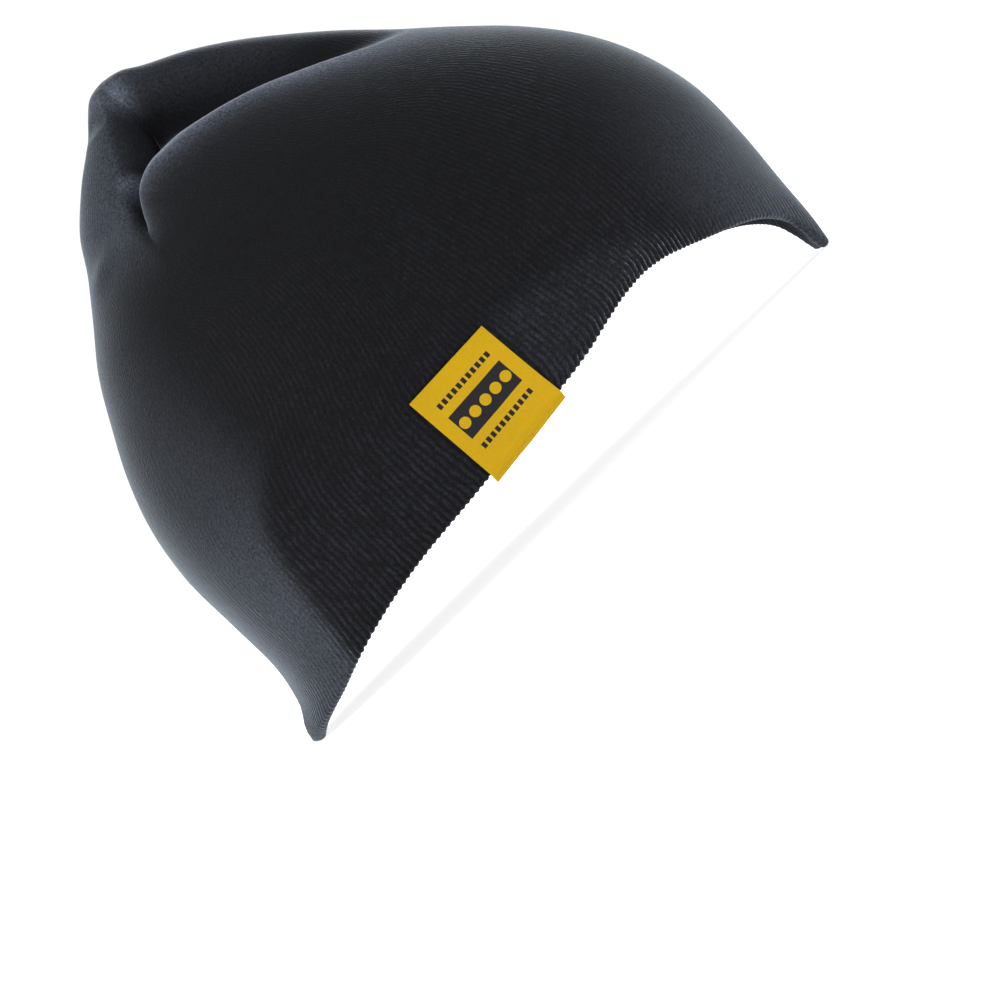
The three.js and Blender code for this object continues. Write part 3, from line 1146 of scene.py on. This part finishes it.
@dataclass
class HemLabel:
    """The square of woven tape that is folded over the rim."""

    form: WornForm
    finish: WovenTapeFinish
    width: float = 29.7
    thickness: float = 0.5
    gap: float = 0.45
    base_x: float = -1.05
    top_x: float = -3.7
    top_z: float = 53.9
    top_rise: float = 1.6
    droop: float = 2.1
    fold_squareness: float = 0.55
    inner_share: float = 0.9
    wall: float = 3.0
    columns: int = 40
    leg_rows: int = 40
    fold_rows: int = 14
    edge_round: float = 0.14

    def path(self, across: Array, along: Array) -> Points:
        """Places on the middle surface of the folded tape.

        Args:
            across: From -1 at the back edge to 1 at the front edge.
            along: From 1 at the outer leg's top, through 0 to -1 round the fold, to -2 at the inner top.

        Returns:
            A point for each pair, in millimetres.
        """
        half = self.width / 2
        out = self.gap + self.thickness / 2
        base_x = self.base_x + across * half
        zero = np.zeros_like(across)
        base_angle = self.form.right_angle(base_x, zero)
        base = self.form.outer(base_angle, zero)
        outwards = self.form.outwards(base_angle, zero)
        outer_leg = along >= 0
        share = np.where(outer_leg, along, np.clip(-1 - along, 0, 1) * self.inner_share)
        x = base_x + (self.top_x + across * half - base_x) * share
        top_z = self.top_z + across * self.top_rise / 2
        row = self.form.right_row(x, base[:, 2] + (top_z - base[:, 2]) * share)
        depth = np.where(outer_leg, -out, self.wall + out)
        legs = self.form.cloth(self.form.right_angle(x, row), row, depth)
        bend = pi * np.clip(-along, 0, 1)
        turned = np.sign(np.cos(bend)) * np.abs(np.cos(bend)) ** self.fold_squareness
        inwards = -self.wall / 2 + (self.wall / 2 + out) * turned
        fold = base + outwards * inwards[:, None]
        fold[:, 2] -= (self.droop + out) * np.abs(np.sin(bend)) ** self.fold_squareness
        in_fold = (along < 0) & (along > -1)
        return np.where(in_fold[:, None], fold, legs)

    def build(self, cloth_surface: bpy.types.NodeTree, rests_on: bpy.types.Object) -> bpy.types.Object:
        """Builds the label and dresses it.

        Args:
            cloth_surface: The node group that both cloths use.
            rests_on: The piece that it is sewn to. It is not used.

        Returns:
            The finished object.
        """
        tape = bmesh.new()
        rows = 2 * self.leg_rows + self.fold_rows
        bmesh.ops.create_grid(tape, x_segments=self.columns, y_segments=rows, size=0.5)
        flat = np.array([vertex.co[:2] for vertex in tape.verts])
        across = flat[:, 0] * 2
        step = np.rint((0.5 - flat[:, 1]) * rows)
        fold_start = float(self.leg_rows)
        fold_end = fold_start + self.fold_rows
        along = np.interp(step, (0, fold_start, fold_end, rows), (1, 0, -1, -2))
        layer = tape.loops.layers.uv.new("tape")
        for face in tape.faces:
            for loop in face.loops:
                i = loop.vert.index
                loop[layer].uv = ((across[i] + 1) / 2, along[i])
        for vertex, spot in zip(tape.verts, self.path(across, along) * MILLIMETRE):
            vertex.co = spot
        tape.normal_update()
        label = mesh_object("hem_tape", tape, self.finish.material(cloth_surface))
        thicken = label.modifiers.new("thickness", "SOLIDIFY")
        thicken.thickness = self.thickness * MILLIMETRE
        thicken.offset = 0.0
        thicken.use_even_offset = True
        soften = label.modifiers.new("soft edges", "BEVEL")
        soften.width = self.edge_round * MILLIMETRE
        soften.segments = 2
        soften.limit_method = "ANGLE"
        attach(label, "root")
        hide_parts(Cover.LABEL.value)
        self.flat_size()
        return label

    def flat_size(self) -> tuple[float, float]:
        """The width and length of the tape before it is folded, in metres."""
        along = np.linspace(1, -2, 400)
        line = self.path(np.zeros_like(along), along)
        length = np.linalg.norm(np.diff(line, axis=0), axis=1).sum()
        return self.width * MILLIMETRE, float(length) * MILLIMETRE


@dataclass(frozen=True)
class Softbox:
    """A square soft light, with its place and side in metres and its power in watts."""

    name: str
    place: tuple[float, float, float]
    side: float
    power: float


@dataclass
class Studio:
    """The pale floor, the soft lights and the camera.

    Lengths are in metres, apart from the size of a pixel and of the sensor, and angles are in degrees.
    """

    finish: FloorFinish
    pixel: float = 0.2949
    image_size: int = 1000
    distance: float = 1.5
    elevation: float = 2.0
    roll: float = 44.26
    target: tuple[float, float, float] = (-0.0190, 0.0, 0.0134)
    sensor: float = 36.0
    floor_half: float = 12.0
    room_seen: float = 1.05
    room_light: float = 0.66
    room_tint: Colour = (0.96, 0.98, 1.0, 1.0)
    cap_middle: tuple[float, float, float] = (0.0, 0.0, 0.08)
    softboxes: tuple[Softbox, ...] = (
        Softbox("softbox_back", (-1.8, -0.4, 0.5), 1.0, 9.0),
        Softbox("softbox_crown", (-1.3, -0.3, 1.3), 1.0, 14.0),
        Softbox("softbox_front", (1.6, -0.6, 0.3), 0.6, 7.0),
        Softbox("softbox_top", (-0.3, -1.0, 1.7), 1.0, 4.0),
    )

    def add_floor(self) -> None:
        """Lays a wide sheet of paper under the cap."""
        sheet = bmesh.new()
        bmesh.ops.create_grid(sheet, x_segments=8, y_segments=8, size=self.floor_half)
        mesh_object("paper_floor", sheet, self.finish.material())

    def add_world(self) -> None:
        """Surrounds the scene with white, dimmer as a light than it looks."""
        world = bpy.data.worlds.new("white_room")
        world.use_nodes = True
        graph = Graph(world.node_tree)
        graph.tree.nodes.clear()
        light = graph.node("ShaderNodeBackground", {"Color": self.room_tint, "Strength": self.room_light})
        seen = graph.node("ShaderNodeBackground", {"Color": WHITE, "Strength": self.room_seen})
        eye = graph.node("ShaderNodeLightPath").outputs["Is Camera Ray"]
        choose = graph.node("ShaderNodeMixShader", {0: eye, 1: light.outputs[0], 2: seen.outputs[0]})
        graph.node("ShaderNodeOutputWorld", {"Surface": choose.outputs[0]})
        bpy.context.scene.world = world

    def add_softbox(self, box: Softbox) -> None:
        """Hangs a soft light that faces the cap.

        Args:
            box: The light's place, side and power.
        """
        data = bpy.data.lights.new(box.name, "AREA")
        data.shape = "SQUARE"
        data.size = box.side
        data.energy = box.power
        light = bpy.data.objects.new(box.name, data)
        light.location = box.place
        aim = Vector(self.cap_middle) - Vector(box.place)
        light.rotation_euler = aim.to_track_quat("-Z", "Y").to_euler()
        bpy.context.scene.collection.objects.link(light)

    def add_camera(self) -> None:
        """Sets the camera on the right side, rolled as the photograph is."""
        data = bpy.data.cameras.new("camera")
        data.sensor_width = self.sensor
        data.lens = self.sensor * self.distance / (self.image_size * self.pixel * MILLIMETRE)
        camera = bpy.data.objects.new("camera", data)
        tilt = radians(self.elevation)
        back = Vector((0, -cos(tilt), sin(tilt)))
        upright = (-back).to_track_quat("-Z", "Y")
        camera.rotation_mode = "QUATERNION"
        camera.rotation_quaternion = upright @ Matrix.Rotation(radians(-self.roll), 3, "Z").to_quaternion()
        camera.location = Vector(self.target) + back * self.distance
        bpy.context.scene.collection.objects.link(camera)
        bpy.context.scene.camera = camera

    def build(self) -> None:
        """Adds the whole studio."""
        bpy.context.scene.view_settings.view_transform = "Standard"
        self.add_camera()
        self.add_floor()
        self.add_world()
        for box in self.softboxes:
            self.add_softbox(box)


def main() -> None:
    """Loads the frame, builds the cap and the studio, and reports each piece."""
    logging.basicConfig(level=logging.INFO, format="%(name)s: %(message)s")
    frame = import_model()
    LOG.info("frame with the nodes %s", sorted(frame["nodes"]))
    cloth_surface = cloth_surface_group()
    form = WornForm()
    shell = KnitShell(form, RibKnitFinish()).build(cloth_surface)
    LOG.info("knit shell: %d faces", len(shell.data.polygons))
    label = HemLabel(form, WovenTapeFinish()).build(cloth_surface, shell)
    LOG.info("hem label: %d faces", len(label.data.polygons))
    Studio(FloorFinish()).build()
    LOG.info("studio: floor, world, four lights and the camera")


if __name__ == "__main__":
    main()
